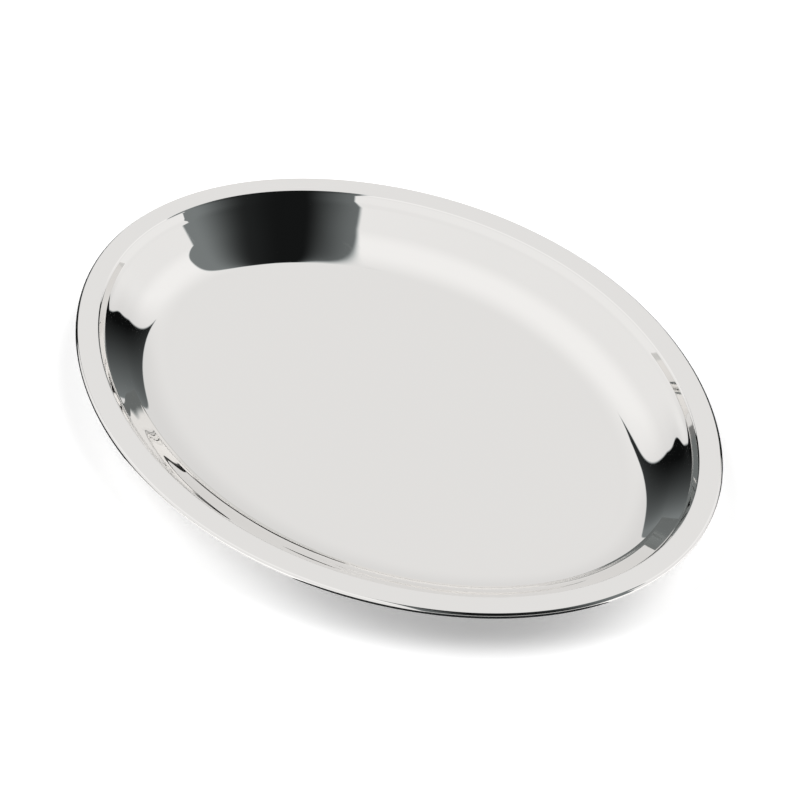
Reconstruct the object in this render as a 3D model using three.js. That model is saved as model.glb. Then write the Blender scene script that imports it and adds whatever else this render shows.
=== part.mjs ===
// An oval serving platter of mirror-polished stainless steel: a flat floor, a sloping wall, a steep shoulder,
// a flat flange and an outer edge rolled over a stiffening wire.
// Millimetres, +Z up. The origin is the middle of the underside, and the long axis lies along X.
import * as THREE from 'three';

const degrees = THREE.MathUtils.degToRad;

// The oval of the outer edge
const length = 350;
const width = 259;
const diagonalDraw = 1.75; // how far the oval lies inside a true ellipse at its four diagonals

// The sheet, and the wire that its edge is rolled over
const height = 20.4; // from the underside to the flange's top
const sheet = 0.6;
const wireDiameter = 1.3;
const wireClearance = 0.25;
const rollTurn = degrees(270);

// The section from the flange in to the floor
const flangeWidth = 11.3; // from the outer edge to the corner where the shoulder starts
const shoulderDrop = 4.4;
const shoulderSlope = degrees(59);
const wallSlope = degrees(37);

// Inside radii of the sheet's bends
const shoulderBend = 0.9;
const creaseBend = 7;
const floorBend = 38;

// Facets round the oval, along each bend and round the wire
const stations = 80;
const rollFacets = 9;
const shoulderFacets = 3;
const creaseFacets = 4;
const floorFacets = 8;
const wireFacets = 8;

const halfLength = length / 2;
const halfWidth = width / 2;
const wireRadius = wireDiameter / 2;
const rollRadius = wireRadius + wireClearance + sheet;
const rollCentre = new THREE.Vector2(-rollRadius, height - rollRadius);

// A point of the section holds how far it lies outside the outer edge, and its height.
// The axis is as far inside the edge as the oval is long.
const axis = -halfLength;

// The point of the oval's parallel curve that lies outset outside the outer edge.
function ovalPoint(turn, outset) {
  const c = Math.cos(turn);
  const s = Math.sin(turn);
  const draw = 2 * diagonalDraw / (Math.hypot(halfLength, halfWidth) * Math.SQRT1_2);
  const edge = new THREE.Vector2(
    halfLength * c * (1 - draw * s * s),
    halfWidth * s * (1 - draw * c * c),
  );
  const along = new THREE.Vector2(
    -halfLength * s * (1 - draw * s * s + 2 * draw * c * c),
    halfWidth * c * (1 - draw * c * c + 2 * draw * s * s),
  );
  const outward = new THREE.Vector2(along.y, -along.x).normalize();
  return edge.addScaledVector(outward, outset);
}

// Carries a closed section round the oval: a lathe's turning, with each ring on a parallel curve.
function sweepRound(section) {
  const turned = section.map(({ x, y }) => new THREE.Vector2(x - axis, y));
  const geometry = new THREE.LatheGeometry(turned, stations);
  const position = geometry.attributes.position;
  for (let i = 0; i < position.count; i += 1) {
    const { x: outset, y: z } = section[i % section.length];
    const station = Math.floor(i / section.length) % stations;
    const turn = 2 * Math.PI * station / stations;
    const { x, y } = outset === axis ? new THREE.Vector2() : ovalPoint(turn, outset);
    position.setXYZ(i, x, y, z);
  }
  geometry.computeVertexNormals();
  return geometry;
}

// The way that the sheet's top faces where the sheet climbs outwards at a slope.
function topNormal(slope) {
  return new THREE.Vector2(-Math.sin(slope), Math.cos(slope));
}

// A bend between two straight stretches whose tops would meet at a corner.
// Its top radius is above zero where the sheet bends up and below zero where it bends down.
function bend(corner, insideRadius, from, to, facets) {
  const topRadius = to > from ? insideRadius : -(insideRadius + sheet);
  const reach = topRadius / Math.cos((to - from) / 2);
  const centre = corner.clone().addScaledVector(topNormal((from + to) / 2), reach);
  return { centre, topRadius, from, to, facets };
}

// The sheet's bends, from the floor out to the rolled edge.
function sheetBends() {
  const shoulderTop = new THREE.Vector2(-flangeWidth, height);
  const creaseHeight = height - shoulderDrop;
  const crease = new THREE.Vector2(shoulderTop.x - shoulderDrop / Math.tan(shoulderSlope), creaseHeight);
  const wallFoot = new THREE.Vector2(crease.x - (creaseHeight - sheet) / Math.tan(wallSlope), sheet);
  return [
    bend(wallFoot, floorBend, 0, wallSlope, floorFacets),
    bend(crease, creaseBend, wallSlope, shoulderSlope, creaseFacets),
    bend(shoulderTop, shoulderBend, shoulderSlope, 0, shoulderFacets),
    { centre: rollCentre, topRadius: -rollRadius, from: 0, to: -rollTurn, facets: rollFacets },
  ];
}

// The sheet's section at a depth below its top, from the floor out to the rolled edge.
function sheetSide(depth) {
  const points = [];
  for (const { centre, topRadius, from, to, facets } of sheetBends()) {
    for (let i = 0; i <= facets; i += 1) {
      const slope = THREE.MathUtils.lerp(from, to, i / facets);
      points.push(centre.clone().addScaledVector(topNormal(slope), -(topRadius + depth)));
    }
  }
  return points;
}

// One sheet: floor, wall, shoulder, flange and rolled edge.
function dish() {
  const top = sheetSide(0);
  const underside = sheetSide(sheet).reverse();
  const floorMiddle = new THREE.Vector2(axis, sheet);
  const undersideMiddle = new THREE.Vector2(axis, 0);
  const section = [floorMiddle, ...top, ...underside, undersideMiddle].reverse();
  const polishedSteel = new THREE.MeshStandardMaterial({ color: 0xe0dfdd, roughness: 0.05, metalness: 1 });
  const mesh = new THREE.Mesh(sweepRound(section), polishedSteel);
  mesh.name = 'dish';
  return mesh;
}

// The welded ring of wire inside the rolled edge.
function rimWire() {
  const section = [];
  for (let i = 0; i <= wireFacets; i += 1) {
    const angle = 2 * Math.PI * (i % wireFacets) / wireFacets;
    const spoke = new THREE.Vector2(Math.cos(angle), Math.sin(angle));
    section.push(rollCentre.clone().addScaledVector(spoke, wireRadius));
  }
  const drawnSteel = new THREE.MeshStandardMaterial({ color: 0xb8b7b3, roughness: 0.35, metalness: 1 });
  const mesh = new THREE.Mesh(sweepRound(section), drawnSteel);
  mesh.name = 'rim_wire';
  return mesh;
}

const platter = new THREE.Group();
platter.add(dish(), rimWire());

export default platter;
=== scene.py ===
import math

import bpy
import numpy as np
from mathutils import Matrix, Vector


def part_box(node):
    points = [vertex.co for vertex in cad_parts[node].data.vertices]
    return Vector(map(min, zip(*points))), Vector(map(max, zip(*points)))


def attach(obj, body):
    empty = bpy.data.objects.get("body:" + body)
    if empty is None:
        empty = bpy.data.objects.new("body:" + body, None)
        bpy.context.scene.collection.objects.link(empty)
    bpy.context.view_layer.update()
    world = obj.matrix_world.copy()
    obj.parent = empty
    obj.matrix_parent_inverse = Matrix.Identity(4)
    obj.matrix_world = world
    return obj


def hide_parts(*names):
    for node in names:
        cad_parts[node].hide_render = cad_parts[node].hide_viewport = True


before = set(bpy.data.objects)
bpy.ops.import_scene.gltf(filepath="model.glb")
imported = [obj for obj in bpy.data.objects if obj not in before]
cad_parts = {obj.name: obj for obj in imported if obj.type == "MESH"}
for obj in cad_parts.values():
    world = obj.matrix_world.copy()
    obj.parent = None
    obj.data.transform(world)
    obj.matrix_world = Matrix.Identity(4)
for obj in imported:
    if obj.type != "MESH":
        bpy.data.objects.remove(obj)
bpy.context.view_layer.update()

# An oval serving platter of mirror-polished steel on a white table, inside a white light tent.
# Metres, in the platter's own frame: +Z up, the long axis along X, the underside's middle at the origin.

BODY = "root"

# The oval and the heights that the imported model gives
_, DISH_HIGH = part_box("dish")
WIRE_LOW, WIRE_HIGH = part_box("rim_wire")
HALF_LENGTH = DISH_HIGH.x
HALF_WIDTH = DISH_HIGH.y
HEIGHT = DISH_HIGH.z
WIRE_RADIUS = (WIRE_HIGH.z - WIRE_LOW.z) / 2
ROLL_CENTRE_Z = (WIRE_HIGH.z + WIRE_LOW.z) / 2
ROLL_RADIUS = HEIGHT - ROLL_CENTRE_Z

# The sheet and its section, from the rolled edge in to the floor
DIAGONAL_DRAW = 0.00175
SHEET = 0.0006
ROLL_TURN = math.radians(270)
FLANGE_WIDTH = 0.0113
SHOULDER_DROP = 0.0044
SHOULDER_SLOPE = math.radians(59)
WALL_SLOPE = math.radians(37)
SHOULDER_BEND = 0.0009
CREASE_BEND = 0.007
FLOOR_BEND = 0.038

# The pressed wall is slightly uneven: two short low humps below the crease, and a long one.
# All lie at one inset from the outer edge. Each is a turn round the oval, how far it reaches and its height.
HUMP_INSET = 0.0175
HUMP_REACH = 0.0025
HUMPS = (
    (math.radians(39), math.radians(7), 0.0007),
    (math.radians(208), math.radians(7), 0.00025),
    (math.radians(275), math.radians(25), 0.0003),
)

# How finely the surfaces are drawn
STATIONS = 320
FLOOR_RINGS = 6
TOP_STEP = 0.0005
TOP_TURN_STEP = math.radians(4)
UNDER_STEP = 0.003
UNDER_TURN_STEP = math.radians(7)
EDGE_STEPS = 6
WIRE_STEPS = 24

# The photograph's camera, with its lens and sensor in millimetres
VIEW_AZIMUTH = math.radians(42.15)
VIEW_ELEVATION = math.radians(44.47)
VIEW_DISTANCE = 1.489
VIEW_RIGHT = 0.0038
VIEW_UP = -0.00931
LENS = 140.0
SENSOR = 36.0

# Colours, how deep the sheet's waves and the wire's marks are, the table, and the lamps
POLISHED_COLOR = (0.75, 0.738, 0.723, 1)
DRAWN_COLOR = (0.5, 0.49, 0.48, 1)
SHEET_WAVES = 0.0002
DRAWING_MARKS = 0.00002
DARK_TINT = (0.9, 0.985, 1, 1)
FLOOR_COLOR = (0.85, 0.85, 0.85, 1)
FLOOR_GLOW = 0.36
FLOOR_REACH = 3.0
FLOOR_Z = -0.0002
LIGHT_STRENGTH = 4.2
LIGHT_AZIMUTH = math.radians(112)
LIGHT_ELEVATION = math.radians(38)
LIGHT_EDGE = (math.radians(38), math.radians(18))

# Black cards on the table, seen only in the polish, that paint the shade beneath the rim into the rolled
# edge's reflection: the outer edge's turns, in degrees, that each lies beside
CARD_TURNS = ((170, 245), (30, 95), (285, 345))
CARD_INSET = 0.015
CARD_REACH = 2.5
CARD_STEPS = 40
PAINTED_SHADE_COLOR = (0.02, 0.022, 0.023, 1)

# The steel's fine marks: waves in a metre, detail and stretch of the noise, and the roughness that it gives
NOISE_MIDDLE = (0.3, 0.7)
WAVE_NOISE = (22, 1)
MARK_NOISE = (70, 5, (1, 6, 1))
MARK_ROUGHNESS = (0.008, 0.028)
SCRATCH_NOISE = (40, 2, (1, 26, 1))
SCRATCH_TURNS = (0.6, -0.9)
SCRATCH_EDGE = (0.715, 0.74)
SCRATCH_ROUGHNESS = 0.06
GRAIN_NOISE = (900, 3)
WIRE_ROUGHNESS = (0.28, 0.42)
DRAWING_NOISE = (1500, 2)

# The tent as the polish mirrors it, in degrees from straight up: u to the camera's right and v towards the
# camera. A lean is degrees of u for each degree of v. A pair says where a change starts and stops, and a four
# adds the tones there.
EDGE_SOFTNESS = 0.5
LEAST_LEVEL = 0.0001
CLOTH_MIDDLE = -45.5
CLOTH_ASPECT = 0.72
BACK_TONE = (4, 24, 1, 0.9)
ROOF_START = (-8, 14)
ROOF_GAIN = (0, 20, 0, 0.16)
ROOF_LOSS = (26, 40, 0, -0.12)
ROOF_REST = (48, 62, 0, 0.05)

# The slit's two edges, how the right one is drawn in, curves over the top and runs to the point at the back,
# the band of cloth that closes the slit low down, and the tones at shares of its width
SLIT_LEFT = 9.4
SLIT_LEFT_LEAN = 0.19
SLIT_RIGHT = 29
SLIT_RIGHT_LEAN = 0.76
SLIT_DRAW = 5
SLIT_DRAW_START = (0, 14)
SLIT_DRAW_STOP = (40, 22)
SLIT_TOP_FRONT = (13, 17)
SLIT_TOP_BACK = -9.5
SLIT_TOP_RIGHT = 32.2
SLIT_TOP_LEAN = 0.522
SLIT_TOP_CURVE = 0.0246
SLIT_POINT_LEAN = 0.95
SLIT_CLOSING = (72, 70.5)
SLIT_REOPENING = (79, 80.5)
SLIT_LEFT_TONE = (0.185, -0.01, 0.01, 0.2)
SLIT_MIDDLE_TONE = (0.28, 0.5, 0, 0.012)
SLIT_RIGHT_TONE = (0.44, 0.87, 0, 0.24)

# The gaps' tops, inner edges and feet, what the right gap has more, and the square root of their tone
GAP_RIGHT_SINK = 2.3
GAP_TOP = 49
GAP_TOP_SLOPE = 13
GAP_TOP_ASIDE = 15.5
GAP_TOP_FADE = 17
GAP_INNER = 28
GAP_INNER_RIGHT = 4.5
GAP_CURVE = 11
GAP_CURVE_START = 40
GAP_CURVE_FADE = 9
GAP_FOOT = 73
GAP_FOOT_RIGHT = 6
GAP_FOOT_FLARE = 0.042
GAP_DEEP_ROOT = 0.0129
GAP_ASIDE_ROOT = 0.0081
GAP_ROOT_DROP = 0.18
GAP_ROOT_LEAST = 0.075
GAP_ROOT_MOST = 0.51

# How what is mirrored a second, third or later time differs: cloth, gaps, slit, and a dark strip at each side
CLOTH_GAINS = (0.12, 0.2, 0.3)
GAP_FADES = (0.27, 0.4)
SLIT_FADE = 0.85
SLIT_KEPT_START = (26, 30)
SLIT_KEPT_STOP = (44, 40)
LATE_FADE = 0.9
STRIP_TONE = 0.25
STRIP_THIRD_GAIN = 0.09
STRIP_INNER = (27.7, 28.7)
STRIP_OUTER = (48, 44)
STRIP_LEFT_WIDER = 14
STRIP_FRONT = -14
STRIP_RIGHT_LONGER = 36
STRIP_STEP = (47, 50)
STRIP_STEP_LONGER = 16
STRIP_SOFTNESS = 2
TINT_FADE = 0.8


class Number:
    """A number inside a node tree. Plain arithmetic on it adds the nodes."""

    def __init__(self, tree, socket):
        self.tree = tree
        self.socket = socket

    def math(self, operation, *others):
        node = self.tree.nodes.new("ShaderNodeMath")
        node.operation = operation
        for value, socket in zip((self, *others), node.inputs):
            if isinstance(value, Number):
                self.tree.links.new(value.socket, socket)
            else:
                socket.default_value = value
        return Number(self.tree, node.outputs[0])

    def __add__(self, other):
        return self.math("ADD", other)

    def __sub__(self, other):
        return self.math("SUBTRACT", other)

    def __mul__(self, other):
        return self.math("MULTIPLY", other)

    def __truediv__(self, other):
        return self.math("DIVIDE", other)

    def rise(self, low, high, start=0.0, stop=1.0):
        """Runs smoothly from start at low to stop at high."""
        node = self.tree.nodes.new("ShaderNodeMapRange")
        node.interpolation_type = "SMOOTHSTEP"
        self.tree.links.new(self.socket, node.inputs["Value"])
        node.inputs["From Min"].default_value = low
        node.inputs["From Max"].default_value = high
        node.inputs["To Min"].default_value = start
        node.inputs["To Max"].default_value = stop
        return Number(self.tree, node.outputs["Result"])


def oval(turn):
    """The outer edge at each turn, and the way out of it."""
    c, s = np.cos(turn), np.sin(turn)
    draw = 2 * DIAGONAL_DRAW / (math.hypot(HALF_LENGTH, HALF_WIDTH) * math.sqrt(0.5))
    edge = np.stack([HALF_LENGTH * c * (1 - draw * s * s), HALF_WIDTH * s * (1 - draw * c * c)], -1)
    along_x = -HALF_LENGTH * s * (1 - draw * s * s + 2 * draw * c * c)
    along_y = HALF_WIDTH * c * (1 - draw * c * c + 2 * draw * s * s)
    outward = np.stack([along_y, -along_x], -1)
    return edge, outward / np.linalg.norm(outward, axis=-1, keepdims=True)


def top_normal(slope):
    """The way that the sheet's top faces where it climbs outwards at a slope."""
    return np.array([-math.sin(slope), math.cos(slope)])


def bend(corner, inside_radius, start, stop):
    """A bend between two straight stretches whose tops would meet at a corner."""
    top_radius = inside_radius if stop > start else -(inside_radius + SHEET)
    reach = top_radius / math.cos((stop - start) / 2)
    return np.array(corner) + reach * top_normal((start + stop) / 2), top_radius, start, stop


def sheet_bends():
    """The sheet's bends, from the floor out to the rolled edge."""
    crease_height = HEIGHT - SHOULDER_DROP
    crease = (-FLANGE_WIDTH - SHOULDER_DROP / math.tan(SHOULDER_SLOPE), crease_height)
    foot = (crease[0] - (crease_height - SHEET) / math.tan(WALL_SLOPE), SHEET)
    return [
        bend(foot, FLOOR_BEND, 0, WALL_SLOPE),
        bend(crease, CREASE_BEND, WALL_SLOPE, SHOULDER_SLOPE),
        bend((-FLANGE_WIDTH, HEIGHT), SHOULDER_BEND, SHOULDER_SLOPE, 0),
        (np.array([-ROLL_RADIUS, ROLL_CENTRE_Z]), -ROLL_RADIUS, 0, -ROLL_TURN),
    ]


def sheet_side(depth, step, turn_step):
    """Points of the section at a depth below the sheet's top, and the way that the top faces at each."""
    points = []
    facings = []
    for centre, top_radius, start, stop in sheet_bends():
        radius = top_radius + depth
        steps = math.ceil(abs(stop - start) * max(1 / turn_step, abs(radius) / step))
        arc = [top_normal(slope) for slope in np.linspace(start, stop, steps + 1)]
        arc_points = [centre - radius * facing for facing in arc]
        if points:
            gap = arc_points[0] - points[-1]
            stretches = math.ceil(np.linalg.norm(gap) / step)
            points += [points[-1] + gap * i / stretches for i in range(1, stretches)]
            facings += [arc[0]] * (stretches - 1)
        points += arc_points
        facings += arc
    return points, facings


def sheet_section():
    """The whole section, from the floor's edge round the sheet's cut end and back, with its normals."""
    top, facing = sheet_side(0, TOP_STEP, TOP_TURN_STEP)
    under, under_facing = sheet_side(SHEET, UNDER_STEP, UNDER_TURN_STEP)
    end_middle = (top[-1] + under[-1]) / 2
    end_slopes = [-ROLL_TURN - math.pi * i / EDGE_STEPS for i in range(1, EDGE_STEPS)]
    end_facing = [top_normal(slope) for slope in end_slopes]
    end = [end_middle + SHEET / 2 * way for way in end_facing]
    return top + end + under[::-1], facing + end_facing + [-way for way in under_facing[::-1]]


def unevenness(turn, outset):
    """How far the humps lift the wall at each turn, and how much steeper it climbs there."""
    lift = np.zeros(turn.shape)
    climb = np.zeros(turn.shape)
    beside = outset + HUMP_INSET
    for at_turn, turn_reach, height in HUMPS:
        aside = (turn - at_turn + math.pi) % (2 * math.pi) - math.pi
        rise = height * np.exp(-(aside / turn_reach) ** 2 - (beside / HUMP_REACH) ** 2)
        lift += rise
        climb -= 2 * beside / HUMP_REACH ** 2 * rise
    return lift, climb


def carried_round(section, facings):
    """The rings that a section makes on the oval's parallel curves, and their normals."""
    turn = 2 * math.pi * np.arange(STATIONS) / STATIONS
    edge, outward = oval(turn)
    rings = []
    normals = []
    for (outset, z), (out, up) in zip(section, facings):
        lift, climb = unevenness(turn, outset)
        rings.append(np.column_stack([edge + outset * outward, z + lift]))
        ways = np.column_stack([(out - climb * up)[:, None] * outward, np.full(STATIONS, up)])
        normals.append(ways / np.linalg.norm(ways, axis=1, keepdims=True))
    return rings, normals


def ring_mesh(name, rings, normals, hubs):
    """A closed skin over rings, with a middle point at both ends or the last joined to the first."""
    around = np.arange(STATIONS)
    onward = (around + 1) % STATIONS
    faces = []
    for row in range(len(rings) if not hubs else len(rings) - 1):
        low = row * STATIONS
        high = (row + 1) % len(rings) * STATIONS
        faces += np.column_stack([low + around, high + around, high + onward, low + onward]).tolist()
    points = np.concatenate(rings)
    facings = np.concatenate(normals)
    if hubs:
        first, last = len(points), len(points) + 1
        final = (len(rings) - 1) * STATIONS
        points = np.vstack([points, rings[0].mean(0), rings[-1].mean(0)])
        facings = np.vstack([facings, normals[0][0], normals[-1][0]])
        faces += np.column_stack([np.full(STATIONS, first), around, onward]).tolist()
        faces += np.column_stack([np.full(STATIONS, last), final + onward, final + around]).tolist()
    mesh = bpy.data.meshes.new(name)
    mesh.from_pydata(points.tolist(), [], faces)
    mesh.shade_smooth()
    mesh.normals_split_custom_set_from_vertices(facings.tolist())
    return mesh


def add_piece(name, mesh, material, node):
    """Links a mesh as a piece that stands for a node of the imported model."""
    piece = bpy.data.objects.new(name, mesh)
    bpy.context.scene.collection.objects.link(piece)
    mesh.materials.append(material)
    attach(piece, BODY)
    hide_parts(node)


def make_dish():
    """The one pressed sheet: floor, wall, shoulder, flange and rolled edge."""
    wall, wall_normals = carried_round(*sheet_section())
    shrinks = [i / FLOOR_RINGS for i in range(1, FLOOR_RINGS)]
    floor = [wall[0] * [shrink, shrink, 1] for shrink in shrinks]
    underside = [wall[-1] * [shrink, shrink, 1] for shrink in shrinks[::-1]]
    rings = floor + wall + underside
    normals = [wall_normals[0]] * len(floor) + wall_normals + [wall_normals[-1]] * len(underside)
    mesh = ring_mesh("dish_sheet", rings, normals, hubs=True)
    add_piece("dish_sheet", mesh, polished_steel(), "dish")


def make_wire():
    """The welded ring of wire inside the rolled edge."""
    centre = np.array([-ROLL_RADIUS, ROLL_CENTRE_Z])
    facings = [top_normal(-2 * math.pi * i / WIRE_STEPS) for i in range(WIRE_STEPS)]
    section = [centre + WIRE_RADIUS * way for way in facings]
    mesh = ring_mesh("edge_wire", *carried_round(section, facings), hubs=False)
    add_piece("edge_wire", mesh, drawn_steel(), "rim_wire")


def new_material(name):
    """A material's node tree with only its output and a Principled shader."""
    material = bpy.data.materials.new(name)
    material.use_nodes = True
    tree = material.node_tree
    return material, tree, tree.nodes["Principled BSDF"]


def noise(tree, scale, detail, stretch=(1, 1, 1), turn=0.0):
    """Noise over the piece, with this many waves in a metre."""
    place = tree.nodes.new("ShaderNodeTexCoord")
    mapping = tree.nodes.new("ShaderNodeMapping")
    mapping.inputs["Rotation"].default_value = (0, 0, turn)
    mapping.inputs["Scale"].default_value = stretch
    texture = tree.nodes.new("ShaderNodeTexNoise")
    texture.inputs["Scale"].default_value = scale
    texture.inputs["Detail"].default_value = detail
    tree.links.new(place.outputs["Object"], mapping.inputs["Vector"])
    tree.links.new(mapping.outputs["Vector"], texture.inputs["Vector"])
    return Number(tree, texture.outputs["Fac"])


def bumped(tree, shader, height, depth):
    """Gives a shader a surface that rises and falls by a height of up to this depth."""
    bump = tree.nodes.new("ShaderNodeBump")
    bump.inputs["Distance"].default_value = depth
    tree.links.new(height.socket, bump.inputs["Height"])
    tree.links.new(bump.outputs["Normal"], shader.inputs["Normal"])


def polished_steel():
    """Mirror-polished stainless steel: slow waves, polishing marks and a few hairline scratches."""
    material, tree, shader = new_material("polished_steel")
    shader.inputs["Base Color"].default_value = POLISHED_COLOR
    shader.inputs["Metallic"].default_value = 1
    marks = noise(tree, *MARK_NOISE).rise(*NOISE_MIDDLE, *MARK_ROUGHNESS)
    one_way, other_way = [noise(tree, *SCRATCH_NOISE, turn).rise(*SCRATCH_EDGE) for turn in SCRATCH_TURNS]
    roughness = marks + (one_way + other_way) * SCRATCH_ROUGHNESS
    tree.links.new(roughness.socket, shader.inputs["Roughness"])
    bumped(tree, shader, noise(tree, *WAVE_NOISE), SHEET_WAVES)
    return material


def drawn_steel():
    """Bright drawn steel wire."""
    material, tree, shader = new_material("drawn_steel")
    shader.inputs["Base Color"].default_value = DRAWN_COLOR
    shader.inputs["Metallic"].default_value = 1
    roughness = noise(tree, *GRAIN_NOISE).rise(*NOISE_MIDDLE, *WIRE_ROUGHNESS)
    tree.links.new(roughness.socket, shader.inputs["Roughness"])
    bumped(tree, shader, noise(tree, *DRAWING_NOISE), DRAWING_MARKS)
    return material


def make_floor():
    """A plain white table top that keeps the platter's shadow."""
    mesh = bpy.data.meshes.new("table_top")
    corners = [(x * FLOOR_REACH, y * FLOOR_REACH, FLOOR_Z) for x, y in ((-1, -1), (1, -1), (1, 1), (-1, 1))]
    mesh.from_pydata(corners, [], [(0, 1, 2, 3)])
    floor = bpy.data.objects.new("table_top", mesh)
    bpy.context.scene.collection.objects.link(floor)
    material, tree, shader = new_material("white_table")
    shader.inputs["Base Color"].default_value = FLOOR_COLOR
    shader.inputs["Roughness"].default_value = 1
    shader.inputs["Specular IOR Level"].default_value = 0
    shader.inputs["Emission Color"].default_value = (1, 1, 1, 1)
    path = tree.nodes.new("ShaderNodeLightPath")
    seen = Number(tree, path.outputs["Is Camera Ray"]) + Number(tree, path.outputs["Is Glossy Ray"])
    glow = seen * FLOOR_GLOW
    tree.links.new(glow.socket, shader.inputs["Emission Strength"])
    mesh.materials.append(material)


def make_shade_cards():
    """Black cards, seen only in the polish, that lie beside the platter and reach under its edge: painted
    shade that the rolled edge mirrors as its dark line.
    """
    material, _, shader = new_material("painted_shade_card")
    shader.inputs["Base Color"].default_value = PAINTED_SHADE_COLOR
    shader.inputs["Roughness"].default_value = 1
    shader.inputs["Specular IOR Level"].default_value = 0
    for start, stop in CARD_TURNS:
        edge, outward = oval(np.radians(np.linspace(start, stop, CARD_STEPS + 1)))
        height = np.full(CARD_STEPS + 1, FLOOR_Z / 2)
        near = np.column_stack([edge - CARD_INSET * outward, height])
        far = np.column_stack([edge + CARD_REACH * outward, height])
        steps = range(CARD_STEPS)
        faces = [(i, i + CARD_STEPS + 1, i + CARD_STEPS + 2, i + 1) for i in steps]
        mesh = bpy.data.meshes.new("shade_card")
        mesh.from_pydata(np.vstack([near, far]).tolist(), [], faces)
        mesh.materials.append(material)
        shade_card = bpy.data.objects.new("shade_card", mesh)
        bpy.context.scene.collection.objects.link(shade_card)
        # hidden from the camera, from light and from shadow, the cards are only painted shade in what the
        # polish mirrors
        shade_card.visible_camera = False
        shade_card.visible_diffuse = False
        shade_card.visible_shadow = False


def view_axes():
    """The camera's right, up and back, as unit vectors."""
    level = math.cos(VIEW_ELEVATION)
    across, along = math.cos(VIEW_AZIMUTH), math.sin(VIEW_AZIMUTH)
    back = Vector((along * level, -across * level, math.sin(VIEW_ELEVATION)))
    right = Vector((across, along, 0))
    return right, back.cross(right), back


def make_camera():
    """The photograph's camera."""
    right, up, back = view_axes()
    data = bpy.data.cameras.new("camera")
    data.lens = LENS
    data.sensor_width = SENSOR
    camera = bpy.data.objects.new("camera", data)
    bpy.context.scene.collection.objects.link(camera)
    target = Vector((0, 0, HEIGHT)) + VIEW_RIGHT * right + VIEW_UP * up
    turn = Matrix((right, up, back)).transposed().to_4x4()
    camera.matrix_world = Matrix.Translation(target + VIEW_DISTANCE * back) @ turn
    bpy.context.scene.camera = camera


def laid(under, cover, tone):
    """One tone laid over another, as far as the cover goes from 0 to 1."""
    return under + cover * (tone - under)


def opened(inside):
    """The slightly soft edge of an opening, from how far inside it a direction lies."""
    return inside.rise(-EDGE_SOFTNESS, EDGE_SOFTNESS)


def tent_cloth(u, v):
    """The cloth's tone: brightest some way above the part that the platter's floor mirrors."""
    beside = u / CLOTH_ASPECT
    ahead = v - CLOTH_MIDDLE
    apart = (beside * beside + ahead * ahead).math("SQRT") / 2
    roof = apart.rise(*ROOF_GAIN) + apart.rise(*ROOF_LOSS) + apart.rise(*ROOF_REST)
    return laid(apart.rise(*BACK_TONE), ahead.rise(*ROOF_START), roof + 1)


def tent_slit(u, v):
    """Where the slit is open, and its tone. It narrows over the top to a point at the back."""
    from_left = u + v * SLIT_LEFT_LEAN + SLIT_LEFT
    drawn_in = v.rise(*SLIT_DRAW_START) * v.rise(*SLIT_DRAW_STOP) * SLIT_DRAW
    front_edge = v * SLIT_RIGHT_LEAN + SLIT_RIGHT - drawn_in
    on_top = v.math("MAXIMUM", SLIT_TOP_BACK)
    past_top = (v - SLIT_TOP_BACK).math("MINIMUM", 0)
    top_edge = on_top * SLIT_TOP_LEAN - on_top * on_top * SLIT_TOP_CURVE
    top_edge = top_edge + past_top * SLIT_POINT_LEAN + SLIT_TOP_RIGHT
    from_right = laid(top_edge, v.rise(*SLIT_TOP_FRONT), front_edge) - u
    not_closed = v.rise(*SLIT_CLOSING) + v.rise(*SLIT_REOPENING)
    slit = opened(from_left) * opened(from_right) * not_closed
    width = v * (SLIT_LEFT_LEAN + SLIT_RIGHT_LEAN) + (SLIT_LEFT + SLIT_RIGHT)
    across = from_left / width.math("MAXIMUM", 1)
    tone = across.rise(*SLIT_LEFT_TONE) + across.rise(*SLIT_MIDDLE_TONE) + across.rise(*SLIT_RIGHT_TONE)
    return slit, tone


def tent_gaps(aside, on_right, v):
    """Where the gaps are open, and their tone. Their tops slope, and their inner edges curve."""
    behind = v * -1
    deep = behind - on_right * GAP_RIGHT_SINK
    top_slope = ((aside * -1 + GAP_TOP_ASIDE) / GAP_TOP_FADE).math("EXPONENT") * GAP_TOP_SLOPE
    below_top = deep - GAP_TOP + top_slope
    curve = ((deep * -1 + GAP_CURVE_START) / GAP_CURVE_FADE).math("EXPONENT").math("MINIMUM", 1)
    foot = (behind - GAP_FOOT + on_right * GAP_FOOT_RIGHT).math("MAXIMUM", 0)
    past_inner = aside - GAP_INNER - on_right * GAP_INNER_RIGHT + curve * GAP_CURVE
    past_inner = past_inner - foot * foot * GAP_FOOT_FLARE
    root = deep * GAP_DEEP_ROOT - aside * GAP_ASIDE_ROOT - GAP_ROOT_DROP
    root = root.math("MAXIMUM", GAP_ROOT_LEAST).math("MINIMUM", GAP_ROOT_MOST)
    return opened(below_top) * opened(past_inner), root * root


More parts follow.
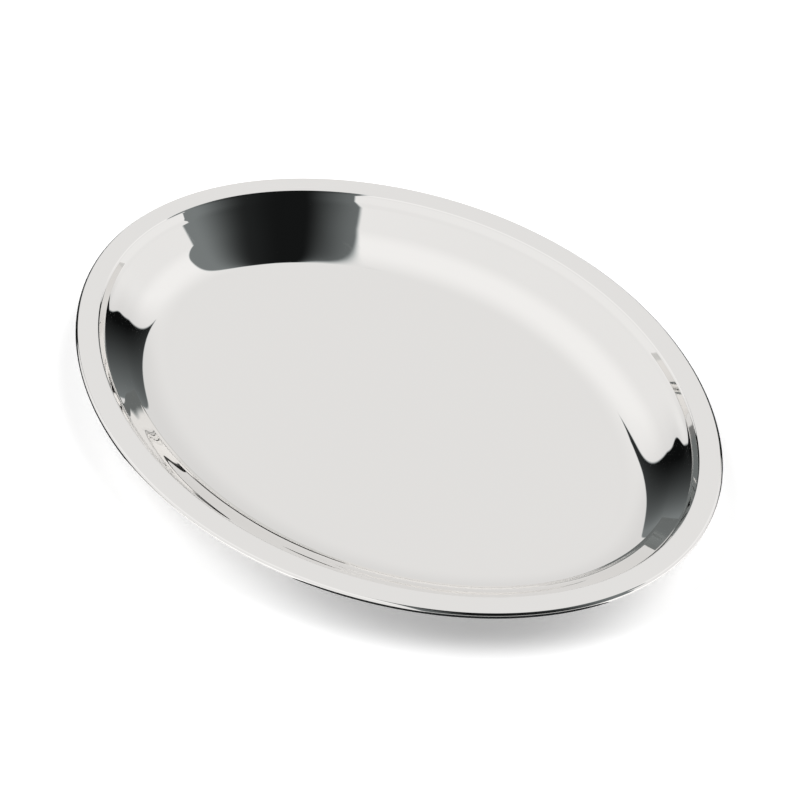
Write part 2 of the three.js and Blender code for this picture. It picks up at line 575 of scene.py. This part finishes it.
def make_tent():
    """The white light tent: a lit roof, a slit towards the camera and two gaps at the back."""
    world = bpy.data.worlds.new("tent")
    bpy.context.scene.world = world
    world.use_nodes = True
    tree = world.node_tree
    background = tree.nodes["Background"]
    place = tree.nodes.new("ShaderNodeTexCoord")

    def along(axis):
        node = tree.nodes.new("ShaderNodeVectorMath")
        node.operation = "DOT_PRODUCT"
        tree.links.new(place.outputs["Generated"], node.inputs[0])
        node.inputs[1].default_value = axis
        return Number(tree, node.outputs["Value"])

    # degrees from straight up, to the camera's right and towards the camera
    right, _, _ = view_axes()
    towards = right.cross(Vector((0, 0, 1)))
    side, front, up = along(right), along(towards), along((0, 0, 1))
    level = (side * side + front * front).math("SQRT").math("MAXIMUM", LEAST_LEVEL)
    tilt = up.math("ARCCOSINE") * math.degrees(1)
    u = tilt * side / level
    v = tilt * front / level
    on_right = u.rise(-1, 1)
    on_left = on_right * -1 + 1
    aside = u.math("ABSOLUTE")
    cloth = tent_cloth(u, v)
    slit, slit_tone = tent_slit(u, v)
    gap, gap_tone = tent_gaps(aside, on_right, v)

    # what is mirrored more than once is softer: the cloth is brighter, and the slit and gaps are paler
    path = tree.nodes.new("ShaderNodeLightPath")
    bounces = Number(tree, path.outputs["Glossy Depth"])
    again = bounces.rise(1, 2)
    third = bounces.rise(2, 3)
    twice = again * bounces.rise(3, 2)
    second_gain, third_gain, later_gain = CLOTH_GAINS
    cloth = cloth * (again * second_gain + third * third_gain + bounces.rise(3, 5) * later_gain + 1)
    second_fade, third_fade = GAP_FADES
    gap_tone = laid(gap_tone, again * second_fade + third * third_fade, cloth)
    paled = twice * (u.rise(*SLIT_KEPT_START) * u.rise(*SLIT_KEPT_STOP) * -SLIT_FADE + SLIT_FADE)
    seen = laid(laid(cloth, slit, laid(slit_tone, paled, cloth)), gap, gap_tone)
    seen = laid(seen, bounces.rise(3, 4) * LATE_FADE, cloth)

    # only what is mirrored again shows a dark strip at each side
    strip = laid(again, on_right, twice)
    strip = strip * aside.rise(*STRIP_INNER) * (aside - on_left * STRIP_LEFT_WIDER).rise(*STRIP_OUTER)
    past_front = v - STRIP_FRONT - on_right * STRIP_RIGHT_LONGER
    past_front = past_front - aside.rise(*STRIP_STEP) * on_left * STRIP_STEP_LONGER
    strip = strip * past_front.rise(STRIP_SOFTNESS, -STRIP_SOFTNESS)
    seen = seen + strip * (third * STRIP_THIRD_GAIN + STRIP_TONE - seen)
    dark = (slit.math("MAXIMUM", gap) * (again * -TINT_FADE + 1)).math("MAXIMUM", strip)

    # the lamps stand at both sides, a little behind the platter
    level_out = math.cos(LIGHT_ELEVATION)
    to_lamp = side.math("ABSOLUTE") * (math.sin(LIGHT_AZIMUTH) * level_out)
    to_lamp = to_lamp + front * (math.cos(LIGHT_AZIMUTH) * level_out) + up * math.sin(LIGHT_ELEVATION)
    outer, inner = LIGHT_EDGE
    lamps = to_lamp.rise(math.cos(outer), math.cos(inner), 0, LIGHT_STRENGTH)
    straight = Number(tree, path.outputs["Is Camera Ray"])
    mirrored = Number(tree, path.outputs["Is Glossy Ray"])
    strength = laid(laid(lamps, mirrored, seen), straight, straight)
    tree.links.new(strength.socket, background.inputs["Strength"])
    tint = tree.nodes.new("ShaderNodeMix")
    tint.data_type = "RGBA"
    tint.inputs["A"].default_value = (1, 1, 1, 1)
    tint.inputs["B"].default_value = DARK_TINT
    tree.links.new((mirrored * dark).socket, tint.inputs["Factor"])
    tree.links.new(tint.outputs["Result"], background.inputs["Color"])


make_camera()
make_dish()
make_wire()
make_floor()
make_shade_cards()
make_tent()
bpy.context.scene.view_settings.view_transform = "Standard"
